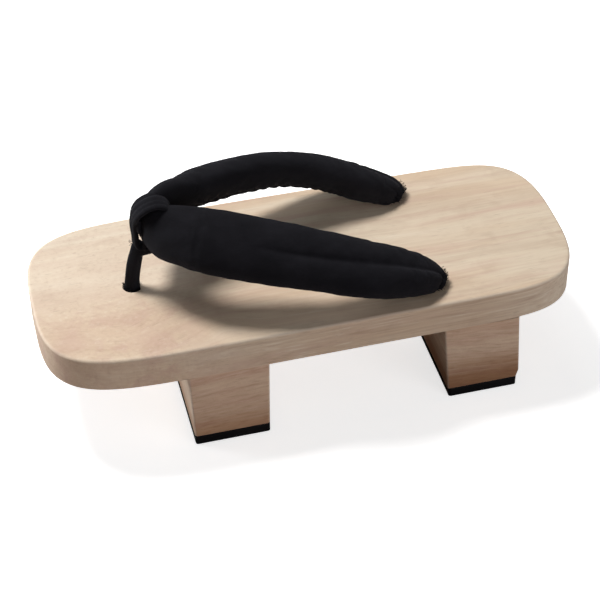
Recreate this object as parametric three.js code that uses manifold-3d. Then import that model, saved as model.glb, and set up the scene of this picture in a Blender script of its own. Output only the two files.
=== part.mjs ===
// Geta: a wooden board on two wooden teeth with rubber pads, a padded V strap and a toe thong.
// Millimetres. X runs along the foot with the toe at -X, Y across it, and Z up from the floor.
// The sandal is the same on both sides of the plane y = 0.

import * as THREE from 'three';
import { mergeVertices } from 'three/addons/utils/BufferGeometryUtils.js';
import Module from 'manifold-3d';

const wasm = await Module();
wasm.setup();

// Driving dimensions of the sole. The teeth stand back from the board's side by the radius of
// its lower edge, so they end where its flat underside does.
const soleLength = 265;
const soleWidth = 104.5;
const deckTop = 63.4;
const deckThickness = 18.2;
const padThickness = 5.4;
const toothEdgeRadius = 1.2;
const topEdgeRadius = 1.4;
const lowerEdgeRadius = 0.9;
const toeSpread = 0.011;

// Cloth stands this far off the wood and off other cloth
const seatGap = 0.3;

// Holes through the deck, and the cloth that fills them
const frontHole = { x: -83.5, y: 0, radius: 4.4 };
const rearHole = { x: 53, y: 36.3, radius: 4.4 };
const tailRadius = 4;

const deckUnderside = deckTop - deckThickness;

// Corners of the plan: a larger power makes a squarer corner
const toeCorner = { along: 7.5, across: 3.35 };
const heelCorner = { along: 10.2, across: 2.85 };
const outlineSteps = 88;

// Where each tooth starts and ends along X, under the deck and at its foot
const teeth = {
  front: { topToe: -67.6, topHeel: -28.8, footToe: -66.1, footHeel: -29.5, heelChamfer: 0 },
  rear: { topToe: 59.2, topHeel: 97.3, footToe: 62.7, footHeel: 99.7, heelChamfer: 2 },
};

// One arm of the strap, from the bend at the toe to its rear end. out is the distance from the
// middle plane, height is above the deck, and lean turns the outer edge of the broad side down.
const armSections = [
  { x: -73.0, out: 0, height: 37.5, halfWidth: 10.2, halfThickness: 5.2, lean: 84 },
  { x: -71.4, out: 4.3, height: 37.6, halfWidth: 11.5, halfThickness: 5.6, lean: 80 },
  { x: -66.5, out: 9.2, height: 38.0, halfWidth: 13.4, halfThickness: 7.0, lean: 66 },
  { x: -58, out: 15.4, height: 37.6, halfWidth: 14.2, halfThickness: 7.9, lean: 56 },
  { x: -46, out: 22.0, height: 36.2, halfWidth: 14.8, halfThickness: 8.3, lean: 50 },
  { x: -24, out: 30.1, height: 32.6, halfWidth: 14.8, halfThickness: 8.8, lean: 47 },
  { x: 0, out: 36.9, height: 26.9, halfWidth: 14.3, halfThickness: 8.7, lean: 41 },
  { x: 22, out: 39.3, height: 18.4, halfWidth: 14.0, halfThickness: 9.0, lean: 33 },
  { x: 40, out: 37.6, height: 10.0, halfWidth: 13.2, halfThickness: 9.0, lean: 27 },
  { x: 51, out: 36.8, height: 5.2, halfWidth: 11.0, halfThickness: 7.4, lean: 22 },
  { x: 58, out: 36.2, height: 2.6, halfWidth: 7.4, halfThickness: 5.0, lean: 16 },
  { x: 62, out: 36.0, height: 1.4, halfWidth: 3.4, halfThickness: 2.4, lean: 10 },
];
const stepsPerSection = 3;
const strapSides = 18;
const grooveDepth = 1.5;
const grooveStart = -34;

// The thong's band runs once round the bend of the strap, in the plane y = 0
const bandSections = [
  { x: -79.2, z: 87.0, halfWidth: 3.0, halfThickness: 1.9 },
  { x: -80.2, z: 95.5, halfWidth: 3.4, halfThickness: 1.5 },
  { x: -80.3, z: 103, halfWidth: 4.2, halfThickness: 1.5 },
  { x: -78.6, z: 109.4, halfWidth: 4.8, halfThickness: 1.6 },
  { x: -74.6, z: 113.2, halfWidth: 6.2, halfThickness: 1.7 },
  { x: -67.6, z: 115.7, halfWidth: 6.4, halfThickness: 1.8 },
  { x: -61.4, z: 112.5, halfWidth: 3.2, halfThickness: 1.7 },
  { x: -60.2, z: 103, halfWidth: 2.6, halfThickness: 1.7 },
  { x: -63.6, z: 92.4, halfWidth: 2.8, halfThickness: 1.8 },
  { x: -71.4, z: 85.4, halfWidth: 3.2, halfThickness: 1.9 },
];
const bandStepsPerSection = 3;
const bandSides = 10;

// The thong itself, from the neck of the band down through the front hole
const thongSections = [
  { x: -79.0, z: 89.5, radius: 2.6 },
  { x: -79.7, z: 86.0, radius: 3.3 },
  { x: -81.9, z: 77.0, radius: 3.6 },
  { x: -83.2, z: 69.0, radius: 3.8 },
  { x: -83.5, z: 62.0, radius: 4.0 },
  { x: -83.5, z: 42.0, radius: 4.0 },
];
const thongSides = 12;

// Knots under the deck
const frontKnot = { x: -83.5, y: 0, radius: 7.6, halfHeight: 5.2 };
const rearKnot = { x: 52.2, y: rearHole.y, radius: 6.4, halfHeight: 4.6 };

// A closed body through a list of rings with the same number of points. The ends are closed
// by fans, unless the last ring joins the first.
function loft(rings, joinsItself = false) {
  const sides = rings[0].length;
  const positions = rings.flat().flatMap((point) => [point.x, point.y, point.z]);
  const indices = [];
  const bands = joinsItself ? rings.length : rings.length - 1;
  for (let band = 0; band < bands; band += 1) {
    const near = band * sides;
    const far = ((band + 1) % rings.length) * sides;
    for (let side = 0; side < sides; side += 1) {
      const next = (side + 1) % sides;
      indices.push(near + side, near + next, far + next, near + side, far + next, far + side);
    }
  }
  if (!joinsItself) {
    for (const [ring, turn] of [[0, -1], [rings.length - 1, 1]]) {
      const middle = new THREE.Vector3();
      rings[ring].forEach((point) => middle.addScaledVector(point, 1 / sides));
      const centre = positions.length / 3;
      positions.push(middle.x, middle.y, middle.z);
      for (let side = 0; side < sides; side += 1) {
        const a = ring * sides + side;
        const b = ring * sides + (side + 1) % sides;
        indices.push(centre, turn > 0 ? a : b, turn > 0 ? b : a);
      }
    }
  }
  const geometry = new THREE.BufferGeometry();
  geometry.setAttribute('position', new THREE.Float32BufferAttribute(positions, 3));
  geometry.setIndex(indices);
  return facedOutward(geometry);
}

// Turns every triangle round if the body is inside out
function facedOutward(geometry) {
  const points = geometry.getAttribute('position');
  const order = geometry.getIndex().array;
  const corners = [new THREE.Vector3(), new THREE.Vector3(), new THREE.Vector3()];
  let volume = 0;
  for (let i = 0; i < order.length; i += 3) {
    corners.forEach((corner, k) => corner.fromBufferAttribute(points, order[i + k]));
    volume += corners[0].dot(corners[1].clone().cross(corners[2]));
  }
  if (volume < 0) {
    for (let i = 0; i < order.length; i += 3) {
      [order[i], order[i + 1]] = [order[i + 1], order[i]];
    }
  }
  return geometry;
}

function toSolid(geometry) {
  const bare = geometry.clone();
  bare.deleteAttribute('normal');
  bare.deleteAttribute('uv');
  const merged = mergeVertices(bare, 1e-4);
  return new wasm.Manifold(new wasm.Mesh({
    numProp: 3,
    vertProperties: new Float32Array(merged.getAttribute('position').array),
    triVerts: new Uint32Array(merged.getIndex().array),
  }));
}

function toGeometry(solid) {
  const mesh = solid.getMesh();
  const geometry = new THREE.BufferGeometry();
  geometry.setAttribute('position', new THREE.BufferAttribute(new Float32Array(mesh.vertProperties), 3));
  geometry.setIndex(new THREE.BufferAttribute(new Uint32Array(mesh.triVerts), 1));
  geometry.computeVertexNormals();
  return geometry;
}

// Smooth values between the rows of a table, for the named columns
function spread(rows, columns, stepsPerRow, closed = false) {
  const count = closed ? rows.length * stepsPerRow : (rows.length - 1) * stepsPerRow + 1;
  const samples = Array.from({ length: count }, () => ({}));
  for (const column of columns) {
    const points = rows.map((row) => new THREE.Vector3(row[column], 0, 0));
    const curve = new THREE.CatmullRomCurve3(points, closed, 'catmullrom', 0.5);
    const last = closed ? count : count - 1;
    samples.forEach((sample, i) => {
      sample[column] = curve.getPoint(i / last).x;
    });
  }
  return samples;
}

// The direction of travel at each point of a route
function directions(points, closed = false) {
  const last = points.length - 1;
  return points.map((point, i) => {
    const before = points[closed ? (i + last) % points.length : Math.max(i - 1, 0)];
    const after = points[closed ? (i + 1) % points.length : Math.min(i + 1, last)];
    return after.clone().sub(before).normalize();
  });
}

// The deck's plan, drawn in from the full outline by an inset
function deckRing(inset, z) {
  const halfLength = soleLength / 2 - inset;
  const halfWidth = soleWidth / 2 - inset;
  return Array.from({ length: outlineSteps }, (_, i) => {
    const angle = (i / outlineSteps) * 2 * Math.PI;
    const along = Math.cos(angle);
    const across = Math.sin(angle);
    const corner = along < 0 ? toeCorner : heelCorner;
    const x = halfLength * Math.sign(along) * Math.abs(along) ** (2 / corner.along);
    const y = halfWidth * Math.sign(across) * Math.abs(across) ** (2 / corner.across);
    return new THREE.Vector3(x, y * (1 - toeSpread * x / halfLength), z);
  });
}

function deck() {
  const rings = [];
  for (const turn of [0, 0.5, 1]) {
    const angle = turn * Math.PI / 2;
    const inset = lowerEdgeRadius * (1 - Math.sin(angle));
    rings.push(deckRing(inset, deckUnderside + lowerEdgeRadius * (1 - Math.cos(angle))));
  }
  for (const turn of [0, 1 / 3, 2 / 3, 1]) {
    const angle = turn * Math.PI / 2;
    const inset = topEdgeRadius * (1 - Math.cos(angle));
    rings.push(deckRing(inset, deckTop - topEdgeRadius * (1 - Math.sin(angle))));
  }
  return loft(rings);
}

// A rectangle in plan with rounded corners
function toothRing(toe, heel, z) {
  const halfWidth = soleWidth / 2 - lowerEdgeRadius;
  const radius = toothEdgeRadius;
  const corners = [[heel, halfWidth], [toe, halfWidth], [toe, -halfWidth], [heel, -halfWidth]];
  return corners.flatMap(([x, y], quarter) => [0, 0.5, 1].map((part) => {
    const angle = (quarter + part) * Math.PI / 2;
    const centreX = x - radius * Math.sign(x - (toe + heel) / 2);
    const centreY = y - radius * Math.sign(y);
    return new THREE.Vector3(
      centreX + radius * Math.cos(angle), centreY + radius * Math.sin(angle), z);
  }));
}

// The tooth's toe and heel faces at a height, on the straight lines of its sides
function toothEnds(tooth, z) {
  const rise = (z - padThickness) / (deckUnderside - padThickness);
  return [
    THREE.MathUtils.lerp(tooth.footToe, tooth.topToe, rise),
    THREE.MathUtils.lerp(tooth.footHeel, tooth.topHeel, rise),
  ];
}

function toothBody(tooth) {
  const rings = [toothRing(tooth.topToe, tooth.topHeel, deckUnderside)];
  if (tooth.heelChamfer > 0) {
    const chamferTop = padThickness + tooth.heelChamfer;
    rings.push(toothRing(...toothEnds(tooth, chamferTop), chamferTop));
  }
  rings.push(toothRing(tooth.footToe, tooth.footHeel - tooth.heelChamfer, padThickness));
  return loft(rings);
}

function toothPad(tooth) {
  const heel = tooth.footHeel - tooth.heelChamfer;
  return loft([0, padThickness].map((z) => toothRing(tooth.footToe, heel, z)));
}

function holeCutter(hole, side) {
  const cutter = new THREE.CylinderGeometry(hole.radius, hole.radius, deckThickness * 2, 32);
  cutter.rotateX(Math.PI / 2);
  cutter.translate(hole.x, hole.y * side, deckTop - deckThickness / 2);
  return cutter;
}

function soleBoard() {
  let board = toSolid(deck()).subtract(toSolid(holeCutter(frontHole, 1)));
  for (const side of [-1, 1]) {
    board = board.subtract(toSolid(holeCutter(rearHole, side)));
  }
  return toGeometry(board);
}

// One section of the strap: an oval with a groove along its outer broad face
function strapRing(section, centre, travel) {
  const outward = new THREE.Vector3(0, 0, 1).cross(travel).normalize();
  const upward = travel.clone().cross(outward);
  const lean = THREE.MathUtils.degToRad(section.lean);
  const broad = outward.clone().multiplyScalar(Math.cos(lean))
    .addScaledVector(upward, -Math.sin(lean));
  const face = outward.clone().multiplyScalar(Math.sin(lean))
    .addScaledVector(upward, Math.cos(lean));
  const groove = grooveDepth * THREE.MathUtils.smoothstep(section.x, grooveStart, 0)
    * Math.min(section.halfThickness / 9, 1);
  return Array.from({ length: strapSides }, (_, i) => {
    const angle = ((i + 0.5) / strapSides) * 2 * Math.PI;
    const dip = groove * Math.exp(-(((angle - Math.PI / 2) / 0.3) ** 2));
    const point = centre.clone()
      .addScaledVector(broad, section.halfWidth * Math.cos(angle))
      .addScaledVector(face, section.halfThickness * Math.sin(angle) - dip);
    point.z = Math.max(point.z, deckTop + seatGap);
    return point;
  });
}

// Both arms as one padded tube, bent at the toe
function strapTube() {
  const columns = ['x', 'out', 'height', 'halfWidth', 'halfThickness', 'lean'];
  const mirrored = armSections.slice(1).map((row) => ({ ...row, out: -row.out }));
  const rows = [...mirrored.reverse(), ...armSections];
  const samples = spread(rows, columns, stepsPerSection);
  const centres = samples.map((row) => new THREE.Vector3(row.x, row.out, deckTop + row.height));
  const travel = directions(centres);
  return loft(samples.map((row, i) => strapRing(row, centres[i], travel[i])));
}

function knot(shape, side) {
  const ball = new THREE.SphereGeometry(1, 20, 12);
  ball.rotateX(Math.PI / 2);
  ball.scale(shape.radius, shape.radius, shape.halfHeight);
  ball.translate(shape.x, shape.y * side, deckUnderside - seatGap - shape.halfHeight);
  return ball;
}

function strapTail(side) {
  const top = deckTop + 5;
  const bottom = deckUnderside - 4;
  const tail = new THREE.CylinderGeometry(tailRadius, tailRadius, top - bottom, 16);
  tail.rotateX(Math.PI / 2);
  tail.translate(rearHole.x, rearHole.y * side, (top + bottom) / 2);
  return tail;
}

function strap() {
  let body = toSolid(strapTube());
  for (const side of [-1, 1]) {
    body = body.add(toSolid(strapTail(side)));
    body = body.add(toSolid(knot(rearKnot, side)));
  }
  return toGeometry(body);
}

// The band round the bend: an oval section, broad across the foot
function thongBand() {
  const samples = spread(bandSections, ['x', 'z', 'halfWidth', 'halfThickness'],
    bandStepsPerSection, true);
  const centres = samples.map((row) => new THREE.Vector3(row.x, 0, row.z));
  const travel = directions(centres, true);
  return loft(samples.map((row, i) => {
    const away = new THREE.Vector3(0, 1, 0).cross(travel[i]);
    return Array.from({ length: bandSides }, (_, k) => {
      const angle = (k / bandSides) * 2 * Math.PI;
      const point = centres[i].clone().addScaledVector(away, row.halfThickness * Math.sin(angle));
      point.y += row.halfWidth * Math.cos(angle);
      return point;
    });
  }), true);
}

function thongStem() {
  const samples = spread(thongSections, ['x', 'z', 'radius'], 2);
  const centres = samples.map((row) => new THREE.Vector3(row.x, 0, row.z));
  const travel = directions(centres);
  return loft(samples.map((row, i) => {
    const away = new THREE.Vector3(0, 1, 0).cross(travel[i]);
    return Array.from({ length: thongSides }, (_, k) => {
      const angle = (k / thongSides) * 2 * Math.PI;
      const point = centres[i].clone().addScaledVector(away, row.radius * Math.sin(angle));
      point.y += row.radius * Math.cos(angle);
      return point;
    });
  }));
}

function toeThong() {
  const body = toSolid(thongBand())
    .add(toSolid(thongStem()))
    .add(toSolid(knot(frontKnot, 1)));
  return toGeometry(body);
}

// Materials
const paleWood = { color: 0xdcc4a6, roughness: 0.62, metalness: 0 };
const blackRubber = { color: 0x1a1a1b, roughness: 0.85, metalness: 0 };
const blackCloth = { color: 0x18181a, roughness: 0.95, metalness: 0 };

const geta = new THREE.Group();

function addPiece(name, geometry, finish) {
  const piece = new THREE.Mesh(geometry, new THREE.MeshStandardMaterial(finish));
  piece.name = name;
  geta.add(piece);
}

addPiece('sole_board', soleBoard(), paleWood);
for (const [place, tooth] of Object.entries(teeth)) {
  addPiece(`${place}_tooth`, toothBody(tooth), paleWood);
  addPiece(`${place}_pad`, toothPad(tooth), blackRubber);
}
addPiece('strap', strap(), blackCloth);
addPiece('toe_thong', toeThong(), blackCloth);

export default geta;
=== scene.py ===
import math

import bmesh
import bpy
import numpy as np
from mathutils import Matrix, Vector


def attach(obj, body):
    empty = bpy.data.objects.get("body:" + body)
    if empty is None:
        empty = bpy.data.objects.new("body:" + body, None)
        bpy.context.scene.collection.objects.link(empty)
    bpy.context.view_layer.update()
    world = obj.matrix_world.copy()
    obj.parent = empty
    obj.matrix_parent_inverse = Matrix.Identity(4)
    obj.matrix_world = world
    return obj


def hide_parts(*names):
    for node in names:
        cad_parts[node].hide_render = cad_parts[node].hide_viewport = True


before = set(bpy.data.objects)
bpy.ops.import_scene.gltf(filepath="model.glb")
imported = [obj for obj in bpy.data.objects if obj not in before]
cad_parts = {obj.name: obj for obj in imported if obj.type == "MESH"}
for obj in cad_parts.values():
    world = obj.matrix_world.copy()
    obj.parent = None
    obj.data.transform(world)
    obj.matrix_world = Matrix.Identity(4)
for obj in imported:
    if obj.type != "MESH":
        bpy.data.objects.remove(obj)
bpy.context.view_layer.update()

mm = 0.001

# Places that several pieces share, in millimetres: x runs from toe to heel, y across, z up
sole = dict(length=265.0, width=104.5, top=63.4, thick=18.2, topEdge=1.4, lowEdge=0.9, toeSpread=0.011,
            toeCorner=(7.5, 3.35), heelCorner=(10.2, 2.85))
sole["under"] = sole["top"] - sole["thick"]
holes = dict(front=(-83.5, 0.0), rear=(53.0, 36.3), radius=4.4)
clothGap = 0.3


def linked(name, data):
    made = bpy.data.objects.new(name, data)
    bpy.context.collection.objects.link(made)
    return made


# Camera and light

cameraPlace = dict(turn=14.006, down=41.228, roll=-0.719, distance=866.35, lens=104.737,
                   aim=(-2.018, -7.017, 41.674))


def placeCamera(place):
    turn, down, roll = (math.radians(place[k]) for k in ("turn", "down", "roll"))
    ahead = Vector((math.sin(turn) * math.cos(down), math.cos(turn) * math.cos(down), -math.sin(down)))
    level = Vector((math.cos(turn), -math.sin(turn), 0))
    lift = level.cross(ahead)
    right = math.cos(roll) * level + math.sin(roll) * lift
    up = math.cos(roll) * lift - math.sin(roll) * level
    data = bpy.data.cameras.new("camera")
    data.sensor_width = 36
    data.lens = place["lens"]
    data.clip_start, data.clip_end = 0.01, 50
    camera = linked("camera", data)
    turned = Matrix((right, up, -ahead)).transposed().to_4x4()
    where = (Vector(place["aim"]) - ahead * place["distance"]) * mm
    camera.matrix_world = Matrix.Translation(where) @ turned
    bpy.context.scene.camera = camera


lightPlan = dict(
    window=dict(toward=(-0.32, 0.36, 1.0), far=1.4, size=0.40, power=18.5, tint=(1.0, 0.985, 0.96)),
    back=dict(toward=(-0.15, 1.0, 0.85), far=2.2, size=1.3, power=7, tint=(0.99, 0.99, 1.0)),
    above=dict(toward=(-0.10, -0.60, 1.0), far=2.2, size=1.2, power=2, tint=(0.98, 0.99, 1.0)),
    low=dict(toward=(-26.0, 15.0, 1.8), far=2.0, size=0.7, power=34, tint=(0.91, 0.96, 1.0)),
    front=dict(toward=(20.0, -26.0, 4.0), far=2.4, size=1.4, power=22, tint=(0.98, 0.98, 1.0)),
    sky=0.07, skyTint=(0.98, 0.985, 1.0),
    floor=(0.84, 0.84, 0.845), floorGlow=0.70, bounce=(0.42, 0.36, 0.34))


def placeLights(plan):
    for name in ("window", "back", "above", "low", "front"):
        lamp = plan[name]
        data = bpy.data.lights.new(name, "AREA")
        data.shape = "DISK"
        data.size = lamp["size"]
        data.energy = lamp["power"]
        data.color = lamp["tint"]
        light = linked(name, data)
        toward = Vector(lamp["toward"]).normalized()
        light.location = toward * lamp["far"] + Vector((0, 0, 0.06))
        light.rotation_euler = toward.to_track_quat("Z", "Y").to_euler()
    world = bpy.data.worlds.new("studio")
    world.use_nodes = True
    sky = world.node_tree.nodes["Background"].inputs
    sky["Color"].default_value, sky["Strength"].default_value = (*plan["skyTint"], 1), plan["sky"]
    bpy.context.scene.world = world
    bpy.context.scene.view_settings.view_transform = "Standard"


placeCamera(cameraPlace)
placeLights(lightPlan)
print("camera and lights placed")


# Shader writing

class Flow:
    # A node's output that can be used in sums
    def __init__(self, tree, socket):
        self.tree = tree
        self.socket = socket

    def joined(self, operation, first, second=None):
        node = self.tree.nodes.new("ShaderNodeMath")
        node.operation = operation
        for slot, item in zip(node.inputs, (first, second)):
            if isinstance(item, Flow):
                self.tree.links.new(item.socket, slot)
            elif item is not None:
                slot.default_value = item
        return Flow(self.tree, node.outputs[0])

    def __add__(self, other):
        return self.joined("ADD", self, other)

    __radd__ = __add__

    def __sub__(self, other):
        return self.joined("SUBTRACT", self, other)

    def __rsub__(self, other):
        return self.joined("SUBTRACT", other, self)

    def __mul__(self, other):
        return self.joined("MULTIPLY", self, other)

    __rmul__ = __mul__

    def __truediv__(self, other):
        return self.joined("DIVIDE", self, other)

    def __pow__(self, other):
        return self.joined("POWER", self, other)

    def bell(self):  # 1 where the flow is nought, falling away on both sides
        return self.joined("EXPONENT", self * self * -1.0)

    def held(self):  # kept between 0 and 1
        return self.joined("MINIMUM", self.joined("MAXIMUM", self, 0.0), 1.0)


class NodeWriter:
    # Makes any node: its settings first, then the values or links of its sockets
    prefix = ""

    def node(self, kind, settings=None, inputs=None, output=0):
        made = self.tree.nodes.new(self.prefix + kind)
        for key, value in (settings or {}).items():
            setattr(made, key, value)
        for key, value in (inputs or {}).items():
            if isinstance(value, Flow):
                self.tree.links.new(value.socket, made.inputs[key])
            else:
                made.inputs[key].default_value = value
        return Flow(self.tree, made.outputs[output])


class Finish(NodeWriter):
    # One material
    prefix = "ShaderNode"

    def __init__(self, name, roughness=0.6, specular=0.4, sheen=0.0):
        self.material = bpy.data.materials.new(name)
        self.material.use_nodes = True
        self.tree = self.material.node_tree
        self.shader = self.tree.nodes["Principled BSDF"]
        self.shader.inputs["Roughness"].default_value = roughness
        self.shader.inputs["Specular IOR Level"].default_value = specular
        self.shader.inputs["Sheen Weight"].default_value = sheen
        self.shader.inputs["Sheen Roughness"].default_value = 0.45

    def feed(self, name, value):
        self.tree.links.new(value.socket, self.shader.inputs[name])

    def place(self, scale=(1, 1, 1), turn=(0, 0, 0), source="Object", shift=(0, 0, 0)):
        spot = self.node("TexCoord", output=source)
        inputs = {"Vector": spot, "Scale": scale, "Rotation": turn, "Location": shift}
        return self.node("Mapping", inputs=inputs)

    def noise(self, where, scale=1.0, detail=2.0, roughness=0.5, distortion=0.0):
        return self.node("TexNoise", inputs={"Vector": where, "Scale": scale, "Detail": detail,
                                             "Roughness": roughness, "Distortion": distortion})

    def band(self, value, low, high):  # a soft step from low to high
        return self.node("MapRange", {"interpolation_type": "SMOOTHSTEP"},
                         {"Value": value, "From Min": low, "From Max": high})

    def mix(self, factor, first, second, blend="MIX"):
        inputs = {0: factor, 6: (*first, 1) if isinstance(first, tuple) else first,
                  7: (*second, 1) if isinstance(second, tuple) else second}
        return self.node("Mix", {"data_type": "RGBA", "blend_type": blend}, inputs, output=2)

    def bump(self, height, distance, strength=1.0, below=None):
        inputs = {"Height": height, "Distance": distance, "Strength": strength}
        if below is not None:
            inputs["Normal"] = below
        return self.node("Bump", inputs=inputs)


class Recipe(NodeWriter):
    # A Geometry Nodes tree with named sizes, that ends in real geometry with one material
    def __init__(self, name, sizes):
        self.tree = bpy.data.node_groups.new(name, "GeometryNodeTree")
        self.places = {}
        self.tree.interface.new_socket("Shape", in_out="INPUT", socket_type="NodeSocketGeometry")
        for key, value in sizes.items():
            kind = "NodeSocketInt" if isinstance(value, int) else "NodeSocketFloat"
            socket = self.tree.interface.new_socket(key, in_out="INPUT", socket_type=kind)
            socket.default_value = value
            self.places[key] = socket.identifier
        self.tree.interface.new_socket("Shape", in_out="OUTPUT", socket_type="NodeSocketGeometry")
        self.start = self.tree.nodes.new("NodeGroupInput")

    def size(self, name):
        return Flow(self.tree, self.start.outputs[name])

    def chance(self, low, high, seed, shift=0):  # a random number for each place
        return self.node("FunctionNodeRandomValue", {"data_type": "FLOAT"},
                         {2: low, 3: high, "Seed": seed + shift}, output=1)

    def vector(self, x, y, z):
        return self.node("ShaderNodeCombineXYZ", inputs={"X": x, "Y": y, "Z": z})

    def close(self, shape, material):
        real = self.node("GeometryNodeRealizeInstances", inputs={"Geometry": shape})
        painted = self.node("GeometryNodeSetMaterial", inputs={"Geometry": real, "Material": material})
        end = self.tree.nodes.new("NodeGroupOutput")
        self.tree.links.new(painted.socket, end.inputs[0])

    def applied(self, made, sizes):
        steps = made.modifiers.new("recipe", "NODES")
        steps.node_group = self.tree
        for key, value in sizes.items():
            steps[self.places[key]] = value
        return baked(made)


# Wood: growth rings round a pith that runs along the grain, and streaks that follow the grain round a swirl

# the last tone paints rounded edges paler: partly a painted highlight, partly rubbed wear
woodTones = dict(cream=(0.705, 0.595, 0.460), straw=(0.655, 0.505, 0.365), rose=(0.585, 0.405, 0.315),
                 line=(0.430, 0.285, 0.200), pale=(0.800, 0.715, 0.600), soot=(0.230, 0.150, 0.105),
                 edgeHighlightAndWear=(0.90, 0.85, 0.78))
woodNoise = dict(  # waves to the millimetre along the grain, across it and down, then detail and roughness
    sway=(0.008, 0.020, 0.020, 1.5, 0.5), tone=(0.006, 0.045, 0.035, 2.0, 0.5),
    flame=(0.012, 0.17, 0.13, 3.0, 0.55), rings=(0.007, 0.45, 0.01, 3.0, 0.6),
    streak=(0.022, 0.75, 0.9, 4.0, 0.58), fibre=(0.16, 3.2, 3.2, 3.0, 0.6),
    figure=(0.06, 0.10, 0.10, 4.0, 0.62), pores=(0.11, 2.1, 2.1, 1.0, 0.5),
    blotch=(0.050, 0.070, 0.06, 3.0, 0.6), speck=(0.42, 0.55, 0.5, 3.0, 0.7),
    wave=(1.0, 1.0, 0.06, 2.0, 0.5))


def woodFinish(name, rings, streaks, edgeHighlightAndWear, turn=0.0, pith=(18.0, -150.0), swirls=(), seed=0.0, footShadeAndTone=None,
               endCut=(1.0, 1.0, 1.0), mottled=None, stains=(), layered=False, rosy=0.0):
    wood = Finish(name, roughness=0.55, specular=0.30)

    def split(vector):
        node = wood.node("SeparateXYZ", inputs={"Vector": vector}).socket.node
        return [Flow(wood.tree, socket) for socket in node.outputs]

    def grainNoise(kind, x, y, z, distortion=0.0):
        perX, perY, perZ, detail, roughness = woodNoise[kind]
        where = wood.node("CombineXYZ", inputs={"X": x * perX, "Y": y * perY, "Z": z * perZ})
        return wood.noise(where, detail=detail, roughness=roughness, distortion=distortion)

    grain = wood.place(scale=(1000, 1000, 1000), turn=(0, 0, turn), shift=(seed, seed * 0.3, 0))
    along, across, height = split(grain)
    facing = [part.joined("ABSOLUTE", part) for part in split(wood.node("NewGeometry", output="Normal"))]
    ends = wood.band(facing[1 if turn else 0], 0.45, 0.95)
    sides = wood.band(facing[2], 0.5, 0.1)
    sway = grainNoise("sway", along, across, height) - 0.5
    bend = across + sway * 17.0
    for spotX, spotY, reachX, reachY, push in swirls:  # a place, how far it reaches, and the push across
        near = ((along - spotX) / reachX).bell() * ((across - spotY) / reachY).bell()
        bend = bend + near * push
    fromPithY, fromPithZ = bend - pith[0], height - pith[1]
    radius = (fromPithY * fromPithY + fromPithZ * fromPithZ) ** 0.5 + sway * 5.0
    if layered:  # streaks that follow the growth layers
        thin, broad = radius, bend * 0.12
    else:
        thin, broad = bend, height * 0.8

    tone = grainNoise("tone", along, thin, broad)
    flame = grainNoise("flame", along, thin, broad)
    ringTone = grainNoise("rings", along, radius, bend)
    streak = grainNoise("streak", along, thin, broad)
    fibre = grainNoise("fibre", along, bend, height)
    figure = grainNoise("figure", along, bend, height, distortion=0.6)
    pores = wood.band(grainNoise("pores", along, bend, height), 0.66, 0.74)

    layers = []  # the tones laid over the wood, each with how much of it, the first one lowest
    straight = 1.0
    if mottled:  # where the grain turns wavy and blotchy, along the grain from start to stop
        start, stop = mottled
        wavy = wood.band(along, start, stop)
        nearSide = wood.band(across, 12.0, -32.0)
        straight = 1.0 - wavy * 0.6
        blotch = grainNoise("blotch", along, across, height, distortion=0.8)
        speck = grainNoise("speck", along, across, height)
        wave = grainNoise("wave", along * 0.30 + across * 0.20, across * 0.06 - along * 0.05, height)
        layers += [("pale", wavy * (1.0 - nearSide) * 0.45),
                   ("rose", wood.band(blotch, 0.47, 0.66) * wavy * nearSide * 0.75),
                   ("line", wood.band(wave, 0.50, 0.72) * wavy * nearSide * 0.14),
                   ("line", wood.band(speck, 0.52, 0.75) * wavy * 0.34),
                   ("pale", wood.band(speck, 0.48, 0.28) * wavy * 0.30)]
    layers += [("rose", wood.band(flame - along * 0.0004 - rosy, 0.45, 0.74) * straight * 0.72),
               ("pale", wood.band(flame, 0.44, 0.24) * 0.30),
               ("line", wood.band(ringTone, 0.48, 0.74) * straight * rings),
               ("pale", wood.band(ringTone, 0.48, 0.26) * straight * rings * 0.6)]
    for spotX, spotY, reachX, reachY, strength in stains:
        nearX = (along - spotX + flame * 6.0 - 3.0) / reachX
        nearY = (across - spotY + tone * 8.0 - 4.0) / reachY
        layers.append(("rose", nearX.bell() * nearY.bell() * strength))
    streaky = straight * (1.0 + sides * 2.2) * streaks
    layers += [("line", wood.band(streak, 0.48, 0.74) * streaky),
               ("pale", wood.band(streak, 0.48, 0.28) * streaky),
               ("line", wood.band(figure, 0.46, 0.72) * 0.20),
               ("line", (fibre - 0.5).held() * 0.35),
               ("soot", pores * 0.22)]
    color = wood.mix(wood.band(tone - along * 0.0009, 0.34, 0.62), woodTones["cream"], woodTones["straw"])
    for laid, amount in layers:
        color = wood.mix(amount, color, woodTones[laid])

    color = wood.mix(ends, color, endCut, blend="MULTIPLY")
    if footShadeAndTone:  # painted shade toward the floor, partly browner wood: darker and browner toward the floor, from high down to low, by a tone
        low, high, darker = footShadeAndTone
        lean = wood.band(height + (ringTone - 0.5) * 18.0 + (flame - 0.5) * 14.0, high, low)
        color = wood.mix(lean, color, darker, blend="MULTIPLY")
    # the rounded edges, where the painted highlight and the rubbed wear go
    if turn:
        corner = wood.band(facing[0].joined("MAXIMUM", facing[0], facing[1]), 0.995, 0.86)
    else:
        corner = wood.band(facing[2], 0.995, 0.86) * wood.band(facing[2], 0.08, 0.35)
    color = wood.mix(corner * (0.4 + tone) * edgeHighlightAndWear, color, woodTones["edgeHighlightAndWear"])  # rounded edges painted paler: partly a painted highlight where they catch the light, partly rubbed wear
    wood.feed("Base Color", color)

    relief = fibre * 0.5 + streak * 0.5 - pores * 0.8 + figure * 0.4
    wood.feed("Normal", wood.bump(relief, 0.00012, 0.55))
    wood.feed("Roughness", 0.46 + fibre * 0.14 + pores * 0.12 + ends * 0.12)
    return wood.material


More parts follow.
